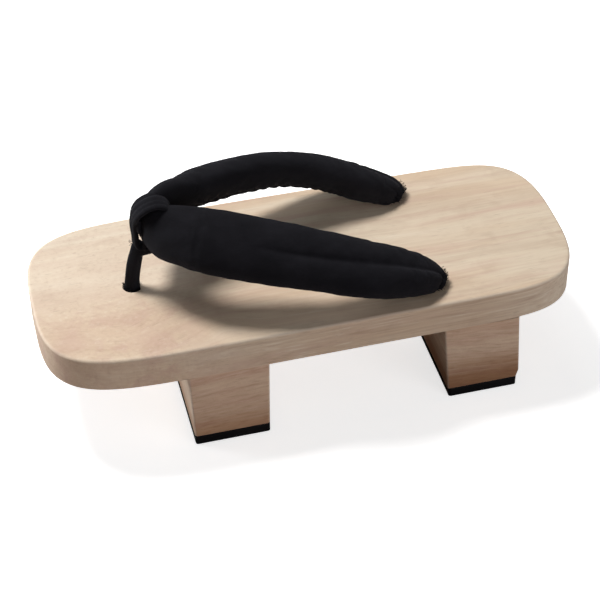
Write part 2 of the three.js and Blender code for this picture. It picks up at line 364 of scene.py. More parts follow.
boardWood = woodFinish(
    "boardWood", rings=0.24, streaks=0.17, edgeHighlightAndWear=0.12, mottled=(-25.0, -75.0),
    swirls=[(-92.0, -34.0, 17.0, 13.0, 8.0), (-47.0, -40.0, 14.0, 10.0, -7.0)],
    stains=[(-119.0, -31.0, 8.0, 9.0, 0.7), (-82.0, -38.0, 11.0, 7.0, 0.5), (-61.0, -40.0, 6.0, 12.0, 0.4)])
# each tooth's painted shade toward the floor, partly browner wood: darkest at low, gone at high, and the tone
# it darkens to
toothFootShadeAndTone = dict(front=(4.0, 30.0, (0.76, 0.60, 0.50)), rear=(7.0, 31.0, (0.53, 0.37, 0.27)))
toothWoods = {
    name: woodFinish(name + "ToothWood", rings=0.18, streaks=0.15, edgeHighlightAndWear=0.2, turn=math.pi / 2, seed=37.0,
                     pith=(0.0, -800.0), rosy=-0.05, endCut=(0.97, 0.87, 0.82), layered=True, footShadeAndTone=footShadeAndTone)
    for name, footShadeAndTone in toothFootShadeAndTone.items()}


# Mesh making

def unit(v):
    return v / np.linalg.norm(v, axis=-1, keepdims=True)


def keepPlaces(made, name, values):  # a number for each point, that subdivision carries on
    kept = made.data.attributes.new(name, "FLOAT", "POINT")
    kept.data.foreach_set("value", np.asarray(values, np.float32).ravel())


def read(items, key, kind=np.float32, width=1):
    values = np.zeros(len(items) * width, kind)
    items.foreach_get(key, values)
    return values


def placesOf(made, name):
    return read(made.data.attributes[name].data, "value").astype(float)


def angleOf(made):  # the way round the strap
    return np.arctan2(placesOf(made, "sine"), placesOf(made, "cosine"))


def vectors(mesh, key="co"):  # the place of each point, or its "normal"
    return read(mesh.vertices, key, width=3).reshape(-1, 3).astype(float)


def setCoordinates(mesh, values):
    mesh.vertices.foreach_set("co", np.asarray(values, np.float32).ravel())
    mesh.update()


def unevenness(places, pitch, seed, waves=14):  # smooth noise about 1 high, the same on every run
    rng = np.random.default_rng(seed)
    turns = unit(rng.normal(size=(waves, 3))) * (2 * np.pi / pitch) * rng.uniform(0.6, 1.5, (waves, 1))
    summed = np.sin(places @ turns.T + rng.uniform(0, 2 * np.pi, waves)).sum(axis=1)
    return summed * math.sqrt(2 / waves) * 0.7


def bell(values, width):
    return np.exp(-(values / width) ** 2)


def ramp(values, low, high):
    t = np.clip((values - low) / (high - low), 0, 1)
    return t * t * (3 - 2 * t)


def between(values, opens, closes):  # 1 inside and 0 outside, with soft ends
    return ramp(values, *opens) * (1 - ramp(values, *closes))


def piece(name, points, faces=(), material=None, edges=(), smooth=True):  # points in millimetres
    mesh = bpy.data.meshes.new(name)
    mesh.from_pydata([tuple(p) for p in np.asarray(points) * mm], edges, faces)
    if material:
        mesh.materials.append(material)
        mesh.polygons.foreach_set("use_smooth", [smooth] * len(mesh.polygons))
    mesh.update()
    return linked(name, mesh)


def pathOf(x, y, z):  # a row of points, from rows of numbers or single ones
    return np.stack(np.broadcast_arrays(x, y, z), axis=1)


def loftFaces(ringCount, sides, joined=False):
    faces = []
    for ring in range(ringCount if joined else ringCount - 1):
        near, far = ring * sides, (ring + 1) % ringCount * sides
        for side in range(sides):
            after = (side + 1) % sides
            faces.append((near + side, near + after, far + after, far + side))
    return faces


def closedLoft(rings):  # rings, and a pole point at each end
    rings = np.asarray(rings)
    count, sides = rings.shape[:2]
    points = np.concatenate([rings.reshape(-1, 3), rings[:1].mean(axis=1), rings[-1:].mean(axis=1)])
    faces = loftFaces(count, sides)
    for ring, pole, flip in ((0, count * sides, True), (count - 1, count * sides + 1, False)):
        for side in range(sides):
            a, b = ring * sides + side, ring * sides + (side + 1) % sides
            faces.append((pole, b, a) if flip else (pole, a, b))
    return points, faces


def faceOutward(made):
    work = bmesh.new()
    work.from_mesh(made.data)
    bmesh.ops.remove_doubles(work, verts=work.verts, dist=1e-7)
    bmesh.ops.recalc_face_normals(work, faces=work.faces)
    work.to_mesh(made.data)
    work.free()


def baked(made):  # the evaluated mesh takes the place of the modifiers
    shape = made.evaluated_get(bpy.context.evaluated_depsgraph_get())
    mesh = bpy.data.meshes.new_from_object(shape)
    made.modifiers.clear()
    made.data = mesh
    return made


def cutWith(made, cutter):
    cut = made.modifiers.new("cut", "BOOLEAN")
    cut.operation, cut.solver, cut.object = "DIFFERENCE", "EXACT", cutter
    baked(made)
    bpy.data.objects.remove(cutter)


# The board

boardShape = dict(outlinePoints=420, roundSteps=8, holeFlare=0.5, holeSides=48)


def boardRing(inset, z):
    t = np.linspace(0, 2 * np.pi, boardShape["outlinePoints"], endpoint=False)
    along, across = np.cos(t), np.sin(t)
    corner = np.where(along[:, None] < 0, sole["toeCorner"], sole["heelCorner"])
    halfLong, halfWide = sole["length"] / 2 - inset, sole["width"] / 2 - inset
    x = halfLong * np.sign(along) * np.abs(along) ** (2 / corner[:, 0])
    y = halfWide * np.sign(across) * np.abs(across) ** (2 / corner[:, 1])
    return pathOf(x, y * (1 - sole["toeSpread"] * x / halfLong), z)


def makeBoard():
    turns = np.linspace(0, np.pi / 2, boardShape["roundSteps"])
    low, high = sole["lowEdge"], sole["topEdge"]
    rings = [boardRing(low + 0.6, sole["under"])]
    rings += [boardRing(low * (1 - np.sin(t)), sole["under"] + low * (1 - np.cos(t))) for t in turns]
    rings += [boardRing(high * (1 - np.cos(t)), sole["top"] - high * (1 - np.sin(t))) for t in turns]
    rings.append(boardRing(high + 0.6, sole["top"]))
    made = piece("soleBoard", *closedLoft(rings), boardWood)
    faceOutward(made)
    spots = [holes["front"]] + [(holes["rear"][0], side * holes["rear"][1]) for side in (-1, 1)]
    flare, radius = boardShape["holeFlare"], holes["radius"]
    profile = [(radius + flare + 1, 1), (radius + flare, 0), (radius + 0.12, -flare), (radius, -flare - 0.5)]
    levels = [(r, sole["top"] + z) for r, z in profile] + [(r, sole["under"] - z) for r, z in profile[::-1]]
    t = np.linspace(0, 2 * np.pi, boardShape["holeSides"], endpoint=False)
    for x, y in spots:
        tube = [[(x + r * math.cos(a), y + r * math.sin(a), z) for a in t] for r, z in levels]
        cutter = piece("holeCutter", *closedLoft(tube), boardWood)
        faceOutward(cutter)
        cutWith(made, cutter)
    made.data.set_sharp_from_angle(angle=math.radians(32))
    return made


# The teeth and their pads

teethShape = dict(
    front=dict(topToe=-67.6, topHeel=-28.1, footToe=-66.1, footHeel=-28.7, chamfer=(0.0, 0.5), padBack=0.1),
    rear=dict(topToe=58.9, topHeel=97.3, footToe=62.1, footHeel=99.7, chamfer=(1.3, 4.0), padBack=0.9),
    padThick=5.4, cornerRadius=1.2, edgeWear=0.45, padEdge=0.35)


def blockRing(toe, heel, z, inset=0.0):
    half = sole["width"] / 2 - sole["lowEdge"] - inset
    radius = teethShape["cornerRadius"]
    corners = [(heel - inset, half), (toe + inset, half), (toe + inset, -half), (heel - inset, -half)]
    ring = []
    for quarter, (x, y) in enumerate(corners):
        middle = np.array([x - radius * np.sign(x - (toe + heel) / 2), y - radius * np.sign(y)])
        for t in np.linspace(0, np.pi / 2, 7) + quarter * np.pi / 2:
            ring.append((*(middle + radius * np.array([np.cos(t), np.sin(t)])), z))
    return np.array(ring)


def levelled(ring, spacing=14):  # extra points along straight sides, which keep flat faces flat in the light
    out = []
    for a, b in zip(ring, np.roll(ring, -1, axis=0)):
        parts = max(1, int(np.linalg.norm(b - a) / spacing))
        out += [a + (b - a) * k / parts for k in range(parts)]
    return np.array(out)


def solidBlock(name, rings, material, sharp):  # edges over sharp degrees stay hard
    made = piece(name, *closedLoft([levelled(ring) for ring in rings]), material)
    faceOutward(made)
    made.data.set_sharp_from_angle(angle=math.radians(sharp))
    return made


def makeTooth(name, tooth, wood):
    pad, under, wear = teethShape["padThick"], sole["under"], teethShape["edgeWear"]

    def ends(z):
        rise = (z - pad) / (under - pad)
        return (tooth["footToe"] + rise * (tooth["topToe"] - tooth["footToe"]),
                tooth["footHeel"] + rise * (tooth["topHeel"] - tooth["footHeel"]))

    cut, rise = tooth["chamfer"]
    toe, heel = tooth["footToe"], tooth["footHeel"] - cut
    rings = [blockRing(*ends(z), z) for z in (under, under - 0.5, pad + rise)]
    rings.append(blockRing(toe, heel + wear * 0.2, pad + wear))
    rings += [blockRing(toe, heel, pad + wear * up, wear * inward) for up, inward in ((0.3, 0.3), (0, 1))]
    return solidBlock(name, rings, wood, sharp=38)


def rubberFinish():
    rubber = Finish("padRubber", roughness=0.62, specular=0.15)
    spot = rubber.place(scale=(1000, 1000, 1000))
    cloud = rubber.noise(spot, scale=0.06, detail=4.0)
    specks = rubber.noise(spot, scale=1.6, detail=3.0, roughness=0.7)
    dust = rubber.band(cloud + specks * 0.4, 0.62, 0.95)
    rubber.feed("Base Color", rubber.mix(dust * 0.5, (0.0035, 0.0035, 0.0042), (0.0110, 0.0108, 0.0115)))
    rubber.feed("Roughness", 0.55 + dust * 0.25 + specks * 0.1)
    rubber.feed("Normal", rubber.bump(specks, 0.00012, 0.5))
    return rubber.material


def makePad(name, tooth):
    edge, thick = teethShape["padEdge"], teethShape["padThick"]
    toe, heel = tooth["footToe"] + tooth["padBack"], tooth["footHeel"] - tooth["chamfer"][0]
    turns = np.linspace(0, np.pi / 2, 4)
    rings = [blockRing(toe, heel, edge * (1 - np.sin(t)), edge * (1 - np.cos(t))) for t in turns[::-1]]
    rings += [blockRing(toe, heel, thick - edge * (1 - np.sin(t)), edge * (1 - np.cos(t))) for t in turns]
    return solidBlock(name, rings, padRubber, sharp=50)


board = makeBoard()
padRubber = rubberFinish()
teethMade = {name: makeTooth(name + "Tooth", teethShape[name], wood) for name, wood in toothWoods.items()}
padsMade = {name: makePad(name + "Pad", teethShape[name]) for name in toothWoods}
print("board, teeth and pads made")


# Black cloth

def clothFinish(name, weave, source="Object"):
    cloth = Finish(name, roughness=0.92, specular=0.08, sheen=0.035)
    cloth.shader.inputs["Sheen Tint"].default_value = (0.62, 0.66, 0.75, 1)
    spot = cloth.place(scale=weave, source=source)
    inputs = {"Vector": spot, "Scale": 1.0, "Distortion": 0.6, "Detail": 1.0}
    warp, weft = (cloth.node("TexWave", {"bands_direction": way}, inputs) for way in "XY")
    threads = warp.joined("MAXIMUM", warp, weft)
    body = cloth.place(scale=(1000, 1000, 1000))
    nap = cloth.noise(body, scale=1.4, detail=4.0, roughness=0.7)
    cloud = cloth.noise(body, scale=0.07, detail=3.0)
    faded = cloth.band(cloud, 0.35, 0.75)
    color = cloth.mix(faded, (0.0092, 0.0089, 0.0114), (0.0126, 0.0122, 0.0155))
    color = cloth.mix(cloth.band(nap, 0.55, 0.80) * 0.5, color, (0.0200, 0.0198, 0.0240))
    cloth.feed("Base Color", color)
    cloth.feed("Roughness", 0.84 + nap * 0.14)
    fine = cloth.bump(threads, 0.00010, 0.6)
    cloth.feed("Normal", cloth.bump(nap, 0.00016, 0.5, below=fine))
    return cloth.material


strapCloth = clothFinish("strapCloth", weave=(100, 100, 100), source="UV")
thongCloth = clothFinish("thongCloth", weave=(1500, 1500, 1500))


# The padded strap

strapRows = [  # x, out from the middle, height over the deck, half width, half thickness, lean in degrees
    (-73.0, 0.0, 36.9, 10.8, 5.2, 84), (-71.4, 4.3, 37.0, 12.1, 5.6, 80), (-66.5, 9.2, 37.4, 14.0, 7.0, 66),
    (-58.0, 15.4, 37.6, 14.2, 7.9, 56), (-46.0, 22.0, 36.2, 14.8, 8.3, 50),
    (-24.0, 30.1, 32.6, 14.8, 8.8, 47), (0.0, 36.9, 26.9, 14.3, 8.7, 41), (22.0, 39.3, 18.4, 14.0, 9.0, 33),
    (40.0, 37.6, 10.0, 13.2, 9.0, 27), (51.0, 36.8, 5.2, 11.0, 7.4, 22), (58.0, 36.2, 2.6, 7.4, 5.0, 16),
    (62.0, 36.0, 1.4, 3.4, 2.4, 10)]
strapUneven = dict(  # how each arm differs, at these places of x: height, half width, half thickness and out
    at=(-72.0, -66.5, -58.0, -50.0, -43.0, -24.0, 0.0, 22.0, 40.0, 51.0, 58.0, 62.0),
    near=[(0.0, -0.8, -0.2, 0.2, 0.4, 0.1, 0.5, 0.9, 1.8, 1.9, 0.4, -0.3),
          (0.0, -0.7, 0.0, 0.6, 0.6, 0.5, 0.3, 0.2, -0.9, -0.7, -0.4, 0.0),
          (0.0, 0.0, 0.0, 0.0, 0.0, 0.0, 0.0, 0.0, 0.0, 0.0, 0.3, 0.0),
          (0.0, 0.0, 0.0, 0.0, 0.0, 0.0, 0.0, 0.0, 0.0, 0.0, 0.4, 2.4)],
    far=[(0.4, 1.4, -0.9, -0.9, 0.1, 0.2, 0.1, 0.4, 0.2, 0.5, 0.1, -0.5),
         (0.6, 2.0, 1.9, 1.8, 0.6, 0.2, 0.0, 0.3, 0.4, 0.5, 0.6, 0.4),
         (0.0, 0.0, 0.4, 0.9, 0.2, 0.0, 0.0, 0.0, -0.1, 0.2, 0.8, 0.2),
         (0.0, 0.0, 0.0, 0.0, 0.0, 0.0, 0.0, 0.0, 0.0, -0.3, -1.5, -3.8)])
strapShape = dict(
    sides=72, stepsPerRow=11, grooveDepth=1.3, grooveStart=-34.0,
    cloth=dict(enlarged=10.0, frames=16, cap=0.28, settings=dict(
        quality=6, mass=0.3, tension_stiffness=15, compression_stiffness=15, shear_stiffness=5,
        bending_stiffness=0.4, vertex_group_mass="held", use_pressure=True, uniform_pressure_force=4.0,
        shrink_min=-0.03)),
    under=0.3, underOpens=(-68, -56), underCloses=(50, 57),  # how much smaller it starts, before it swells
    heldToe=(-68, -44), heldHeel=(46, 57),  # where the cloth turns from held to free, and back
    crease=dict(depth=0.6, width=0.09, lip=0.25, lipAt=0.24),  # along the groove, in mm and radians
    seam=dict(at=1.5 * math.pi, depth=0.8, width=0.14, pucker=0.34, pitch=6.4, spread=0.3,
              opens=(17.0, 25.0), closes=(138.0, 146.0)),
    pleats=dict(count=10, depth=0.42, opens=(47, 61), closes=(61.0, 62.5)),
    lumps=dict(height=0.07, pitch=26, fine=0.10, finePitch=7, opens=(-66, -52), closes=(54, 60)), seed=7)


def throughRows(rows, perRow, closed=False):  # smooth values between the rows of a table
    rows = np.asarray(rows, float)
    count = len(rows)
    if closed:
        padded = np.concatenate([rows[-1:], rows, rows[:2]])
        places = np.arange(count * perRow) / perRow
    else:
        padded = np.concatenate([[2 * rows[0] - rows[1]], rows, [2 * rows[-1] - rows[-2]]])
        places = np.arange((count - 1) * perRow + 1) / perRow
    step = np.minimum(places.astype(int), count - 1 if closed else count - 2)
    t = (places - step)[:, None]
    a, b, c, d = (padded[step + k] for k in range(4))
    bent = (2 * a - 5 * b + 4 * c - d) * t ** 2 + (3 * b - a - 3 * c + d) * t ** 3
    return 0.5 * (2 * b + (c - a) * t + bent)


def strapFrames():
    def oneArm(side, rows):
        uneven = strapUneven["near" if side < 0 else "far"]
        changes = [np.interp([row[0] for row in rows], strapUneven["at"], values) for values in uneven]
        return [(x, (out + away) * side, height + lift, wide + wider, thick + thicker, lean)
                for (x, out, height, wide, thick, lean), lift, wider, thicker, away in zip(rows, *changes)]

    rows = throughRows(oneArm(-1, strapRows[:0:-1]) + oneArm(1, strapRows), strapShape["stepsPerRow"])
    centres = rows[:, :3] + [0, 0, sole["top"]]
    travel = unit(np.gradient(centres, axis=0))
    outward = unit(np.cross([0, 0, 1.0], travel))
    upward = np.cross(travel, outward)
    lean = np.radians(rows[:, 5:6])
    broad = np.cos(lean) * outward - np.sin(lean) * upward
    face = np.sin(lean) * outward + np.cos(lean) * upward
    return rows, centres, broad, face


def puffed(made, held, plan):  # pressure swells the cloth between the places where it is held
    start = vectors(made.data)
    setCoordinates(made.data, start * plan["enlarged"])
    group = made.vertex_groups.new(name="held")
    for index, weight in enumerate(held):
        group.add([index], float(weight), "REPLACE")
    cloth = made.modifiers.new("puff", "CLOTH")
    for key, value in plan["settings"].items():
        setattr(cloth.settings, key, value)
    cloth.settings.effector_weights.gravity = 0
    cloth.point_cache.frame_start, cloth.point_cache.frame_end = 1, plan["frames"]
    for moment in range(1, plan["frames"] + 1):
        bpy.context.scene.frame_set(moment)
    shape = made.evaluated_get(bpy.context.evaluated_depsgraph_get())
    swollen = vectors(shape.data) / plan["enlarged"]
    made.modifiers.clear()
    made.vertex_groups.clear()
    bpy.context.scene.frame_set(1)
    move = swollen - start
    far = np.linalg.norm(move, axis=1, keepdims=True)
    cap = plan["cap"] * mm
    print("cloth moved", round(float(np.median(far) / mm), 2), "to", round(float(far.max() / mm), 2), "mm")
    setCoordinates(made.data, start + move * np.tanh(far / cap) * cap / np.maximum(far, 1e-9))


def toRows(made, centres, broad, face, wide, thick, sides):  # each ring keeps its folds at its full size
    places = vectors(made.data) / mm
    rings = places[:len(centres) * sides].reshape(len(centres), sides, 3)
    middle = rings.mean(axis=1, keepdims=True)
    reachRings, outermost = 12, 8
    soft = bell(np.arange(-reachRings, reachRings + 1), reachRings / 2)
    for axis, reach in ((broad, wide), (face, thick)):
        spread = np.einsum("rsk,rk->rs", rings - middle, axis)
        grow = reach[:, 0] / np.sort(np.abs(spread), axis=1)[:, -outermost:].mean(axis=1)
        even = np.convolve(np.pad(grow, reachRings, mode="edge"), soft / soft.sum(), mode="valid")
        rings += ((even[:, None] - 1) * spread)[..., None] * axis[:, None]
    rings += centres[:, None] - middle
    setCoordinates(made.data, places * mm)


def fromAngle(angle, place):  # the shorter way round, in radians
    return (angle - place + math.pi) % (2 * math.pi) - math.pi


def sewStrap(made):  # creases, seam and pleats, put in after the swelling
    run, angle, along = placesOf(made, "run"), angleOf(made), placesOf(made, "along")
    places, normals = vectors(made.data) / mm, vectors(made.data, "normal")
    shape, crease, seam, pleats = strapShape, strapShape["crease"], strapShape["seam"], strapShape["pleats"]
    out = np.zeros(len(places))

    wander = 0.07 * unevenness(places * [1, 1, 0], 60, shape["seed"] + 1)
    toGroove = fromAngle(angle, math.pi / 2 + wander)
    inGroove = ramp(along, -40, -5) * (1 - 0.6 * ramp(along, 54, 62))
    out -= crease["depth"] * inGroove * bell(toGroove, crease["width"])
    out += crease["lip"] * inGroove * bell(toGroove + crease["lipAt"], 0.22)

    toSeam = fromAngle(angle, seam["at"])
    inSeam = between(np.abs(run), seam["opens"], seam["closes"])
    beat = run / seam["pitch"] * 2 * np.pi + 1.1 * np.sin(run * 0.11) + 0.9 * np.sin(run * 0.053 + 2)
    size = 0.65 + 0.35 * np.sin(run * 0.17 + 1)
    out -= seam["depth"] * inSeam * bell(toSeam, seam["width"])
    out += seam["pucker"] * inSeam * size * np.cos(beat) * bell(np.abs(toSeam) - 0.28, seam["spread"])

    inPleats = between(along, pleats["opens"], pleats["closes"])
    fold = np.abs(np.cos(angle * pleats["count"] / 2 + 0.5 * np.sin(angle * 2) + 0.012 * run))
    out -= pleats["depth"] * inPleats * (1 - fold) ** 2

    girth = 11.0  # millimetres to the radian
    for start, stop, depth, width in strapWrinkles:  # each is (run, angle) to (run, angle)
        a, b = (np.array([spot[0], spot[1] * girth]) for spot in (start, stop))
        spot = np.stack([run, (fromAngle(angle, start[1]) + start[1]) * girth], axis=1)
        t = np.clip(((spot - a) @ (b - a)) / ((b - a) @ (b - a)), 0, 1)
        away = np.linalg.norm(spot - (a + t[:, None] * (b - a)), axis=1)
        fade = np.sin(np.pi * t)  # nothing at both ends
        out -= depth * fade * bell(away, width)
        out += depth * 0.35 * fade * bell(away - 1.9 * width, width)

    lumps = shape["lumps"]
    free = between(along, lumps["opens"], lumps["closes"])
    out += lumps["height"] * free * unevenness(places, lumps["pitch"], shape["seed"])
    out += lumps["fine"] * free * unevenness(places, lumps["finePitch"], shape["seed"] + 2)
    places += normals * out[:, None]
    places[:, 2] = np.maximum(places[:, 2], sole["top"] + 0.8 * clothGap)
    setCoordinates(made.data, places * mm)


strapWrinkles = [  # run and angle at each end, depth, width in mm; a minus run is on the near arm
    ((-11.0, 0.9), (-27.0, 1.3), 0.30, 2.4), ((-11.5, 0.35), (-24.0, 0.65), 0.25, 2.2),
    ((-11.0, 1.9), (-24.0, 1.8), 0.22, 2.2), ((-15.0, 2.7), (-27.0, 2.45), 0.25, 2.4),
    ((12.0, 0.9), (27.0, 1.3), 0.32, 2.4), ((12.5, 0.2), (24.0, 0.45), 0.30, 2.2),
    ((13.0, 1.9), (26.0, 2.1), 0.25, 2.2), ((-70.0, 3.3), (-86.0, 3.0), 0.25, 2.6),
    ((62.0, 3.5), (80.0, 3.2), 0.30, 2.6)]


def unwrapAlong(made):  # u along the strap and v round it, both in tenths of a metre
    run, angle, faces = placesOf(made, "run"), angleOf(made), made.data.polygons
    corner = read(made.data.loops, "vertex_index", np.int32)
    first, sizes = read(faces, "loop_start", np.int32), read(faces, "loop_total", np.int32)
    start = np.repeat(angle[corner[first]], sizes)
    v = start + fromAngle(angle[corner], start)
    layer = made.data.uv_layers.new(name="weave")
    spots = np.stack([run[corner] / 100, v * 11.8 / 100], axis=1)
    layer.data.foreach_set("uv", spots.astype(np.float32).ravel())


def makeStrap():
    rows, centres, broad, face = strapFrames()
    shape, sides = strapShape, strapShape["sides"]
    angle = (np.arange(sides) + 0.5) / sides * 2 * np.pi
    room = shape["under"] * between(rows[:, :1], shape["underOpens"], shape["underCloses"])
    width, thick = rows[:, 3:4] - room, rows[:, 4:5] - room
    groove = shape["grooveDepth"] * ramp(rows[:, :1], shape["grooveStart"], 0) * np.minimum(thick / 9, 1)
    dip = groove * bell(angle - np.pi / 2, 0.3)
    points = (centres[:, None] + (width * np.cos(angle))[..., None] * broad[:, None]
              + (thick * np.sin(angle) - dip)[..., None] * face[:, None])
    points[..., 2] = np.maximum(points[..., 2], sole["top"] + clothGap)
    made = piece("paddedStrap", *closedLoft(points), strapCloth)
    step = np.linalg.norm(np.diff(centres, axis=0), axis=1)
    run = np.concatenate([[0], np.cumsum(step)])
    run -= run[len(run) // 2]
    for name, perRing in (("run", run), ("along", rows[:, 0])):
        keepPlaces(made, name, np.concatenate([np.repeat(perRing, sides), [perRing[0], perRing[-1]]]))
    for name, turn in (("cosine", np.cos(angle)), ("sine", np.sin(angle))):
        keepPlaces(made, name, np.concatenate([np.tile(turn, len(rows)), [0, 0]]))
    faceOutward(made)

    around, along = angleOf(made), placesOf(made, "along")
    atSeam = bell(fromAngle(around, shape["seam"]["at"]), 0.16)
    atGroove = bell(fromAngle(around, math.pi / 2), 0.14) * ramp(along, shape["grooveStart"], 0)
    atEnds = np.maximum(1 - ramp(along, *shape["heldToe"]), ramp(along, *shape["heldHeel"]))
    held = np.clip(np.maximum.reduce([atSeam, 0.9 * atGroove, atEnds]), 0, 1)
    puffed(made, held, shape["cloth"])
    toRows(made, centres, broad, face, rows[:, 3:4], rows[:, 4:5], sides)
    finer = made.modifiers.new("finer", "SUBSURF")
    finer.levels = finer.render_levels = 1
    baked(made)
    sewStrap(made)
    unwrapAlong(made)
    return made


strap = makeStrap()
print("padded strap made")


# Cloth tubes that are laid over one another and then made one skin

def sweep(path, halfWide, halfThick, sides=20, joined=False, broadAxis=(0, 1, 0), pleats=0, pleatDepth=0.0):
    path, aside = np.asarray(path, float), np.asarray(broadAxis, float)
    travel = unit(np.roll(path, -1, 0) - np.roll(path, 1, 0) if joined else np.gradient(path, axis=0))
    broad = unit(aside - travel * (travel @ aside)[:, None])
    thin = np.cross(travel, broad)
    angle = np.arange(sides) / sides * 2 * np.pi
    folds = 1 - pleatDepth * (0.5 + 0.5 * np.cos(pleats * angle))
    wide, thick = (np.broadcast_to(half, len(path))[:, None] * folds for half in (halfWide, halfThick))
    return (path[:, None] + (wide * np.cos(angle))[..., None] * broad[:, None]
            + (thick * np.sin(angle))[..., None] * thin[:, None])


class Bundle:
    # closed tubes gathered into one mesh
    def __init__(self):
        self.points, self.faces, self.count = [], [], 0

    def add(self, rings, joined=False):
        rings = np.asarray(rings)
        if joined:
            points, faces = rings.reshape(-1, 3), loftFaces(*rings.shape[:2], joined=True)
        else:
            points, faces = closedLoft(rings)
        self.points.append(points)
        self.faces += [tuple(i + self.count for i in face) for face in faces]
        self.count += len(points)

    def fused(self, name, material, grain=0.35, softening=6):
        made = piece(name, np.concatenate(self.points), self.faces, material)
        faceOutward(made)
        fuse = made.modifiers.new("fuse", "REMESH")
        fuse.mode, fuse.voxel_size, fuse.use_smooth_shade = "VOXEL", grain * mm, True
        ease = made.modifiers.new("ease", "SMOOTH")
        ease.factor, ease.iterations = 0.5, softening
        baked(made)
        made.data.materials.clear()
        made.data.materials.append(material)
        return made


def knotRings(middle, radius, halfHeight, cord, turn=0.0, sides=16):  # a trefoil knot, pulled flat
    t = np.linspace(0, 2 * np.pi, 120, endpoint=False)
    reach = (radius - cord) / 3.0
    flat = np.stack([np.sin(t) + 2 * np.sin(2 * t), np.cos(t) - 2 * np.cos(2 * t)]) * reach
    x = flat[0] * math.cos(turn) - flat[1] * math.sin(turn)
    y = flat[0] * math.sin(turn) + flat[1] * math.cos(turn)
    path = pathOf(x, y, -np.sin(3 * t) * (halfHeight - cord)) + middle
    return sweep(path, cord, cord, sides, joined=True, broadAxis=(0.1, 0.05, 1))


# The toe thong: strands of a folded band over the bend of the strap, a neck, and a stem through the board

thongShape = dict(
    loop=[(-79.3, 88.3), (-80.2, 95.5), (-80.4, 103.0), (-78.9, 109.2), (-75.2, 112.8),
          (-69.6, 114.3), (-64.8, 111.6), (-63.2, 103.0), (-66.2, 91.0), (-72.8, 86.8)],  # x, z
    strands=[  # across at the top and at the toe, half width at the top and at the toe, how far it lies out
        (1.6, 1.8, 2.3, 1.5, 0.0), (-1.5, 0.3, 2.3, 1.1, 0.45), (-4.2, -1.0, 2.0, 1.1, 0.1),
        (-6.6, -2.2, 1.9, 1.4, -0.4)],
    halfThick=(1.3, 1.35),
    hug=[(-78.2, -3.2, 105.0, 1.2), (-78.2, -3.9, 101.5, 1.5), (-77.8, -4.3, 98.6, 1.4),
         (-76.9, -4.2, 95.0, 1.0), (-76.3, -3.8, 91.0, 1.0),
         (-76.6, -3.0, 87.6, 1.2)],  # a thin strand against the strap: x, y, z, radius
    saddle=[(-80.6, 84.2, 2.9), (-77.5, 85.4, 3.3), (-73.0, 86.0, 3.3), (-68.5, 87.6, 2.6),
            (-65.5, 90.5, 1.6)],  # x, z, radius
    stem=[(-78.9, 90.0, 2.4), (-79.4, 87.2, 3.2), (-80.4, 83.0, 3.6), (-81.9, 77.0, 3.85),
          (-83.2, 69.0, 3.85), (-83.5, 64.6, 4.0), (-83.5, 62.0, 4.0), (-83.5, 42.0, 3.9)],  # x, z, radius
    stemFlat=0.30, knot=dict(radius=7.6, halfHeight=5.2, cord=2.55))


def makeThong():
    shape = thongShape
    bundle = Bundle()
    loop = throughRows(shape["loop"], 12, closed=True)
    toTop = ramp(loop[:, 1], 101, 113)
    outwards = unit(np.stack([loop[:, 0] + 70.2, loop[:, 1] - 101.0], axis=1))
    thinToe, thinTop = shape["halfThick"]
    for k, (acrossTop, acrossToe, wideTop, wideToe, lift) in enumerate(shape["strands"]):
        across = acrossToe + (acrossTop - acrossToe) * toTop + 0.25 * np.sin(loop[:, 1] * 0.35 + k * 2.1)
        wide = wideToe + (wideTop - wideToe) * toTop
        thick = thinToe + (thinTop - thinToe) * toTop
        lifted = loop + outwards * lift
        path = pathOf(lifted[:, 0], across, lifted[:, 1])
        bundle.add(sweep(path, wide, thick, joined=True), joined=True)
    hug = throughRows(shape["hug"], 6)
    bundle.add(sweep(hug[:, :3], hug[:, 3], hug[:, 3] * 0.9, sides=14))
    saddle = throughRows(shape["saddle"], 6)
    path = pathOf(saddle[:, 0], -0.3, saddle[:, 1])
    bundle.add(sweep(path, saddle[:, 2] * 0.95, saddle[:, 2], sides=28))
    stem = throughRows(shape["stem"], 8)
    path = pathOf(stem[:, 0], 0.0, stem[:, 1])
    flat = 1 - shape["stemFlat"] * between(-stem[:, 1], (-82, -68), (-64, -60))  # just over the board
    bundle.add(sweep(path, stem[:, 2] * flat, stem[:, 2] * 0.97, sides=40, pleats=5, pleatDepth=0.10))
    under = sole["under"] - clothGap - shape["knot"]["halfHeight"]
    bundle.add(knotRings((holes["front"][0], holes["front"][1], under), turn=0.4, **shape["knot"]))
    return bundle.fused("toeThong", thongCloth)


toeThong = makeThong()
print("toe thong made")


# Under the padded ends: the cords down the rear holes, each tied in a knot

tailShape = dict(top=4.0, radius=3.9, pleats=5, pleatDepth=0.08, knotAt=52.2,
                 knot=dict(radius=6.4, halfHeight=4.6, cord=2.2))


def makeTails():
    shape, bundle = tailShape, Bundle()
    under = sole["under"] - clothGap - shape["knot"]["halfHeight"]
    for side in (-1, 1):
        x, y = holes["rear"][0], side * holes["rear"][1]
        path = pathOf(x, y, np.linspace(sole["top"] + shape["top"], under, 24))
        pleats = dict(pleats=shape["pleats"], pleatDepth=shape["pleatDepth"])
        bundle.add(sweep(path, shape["radius"], shape["radius"], sides=32, **pleats))
        bundle.add(knotRings((shape["knotAt"], y, under), turn=0.9 + side, **shape["knot"]))
    return bundle.fused("strapTails", thongCloth)


strapTails = makeTails()
print("strap tails made")


# Seam stitches and frayed threads

stitchPlan = dict(pitch=3.3, long=2.0, thick=0.42, lean=0.35, seed=3, start=16.0, stop=139.0, lift=0.10)
frayPlan = dict(tips=dict(count=150, long=1.6), base=dict(count=60, long=1.6), neck=dict(count=7, long=2.2),
                thick=0.1, seed=5)


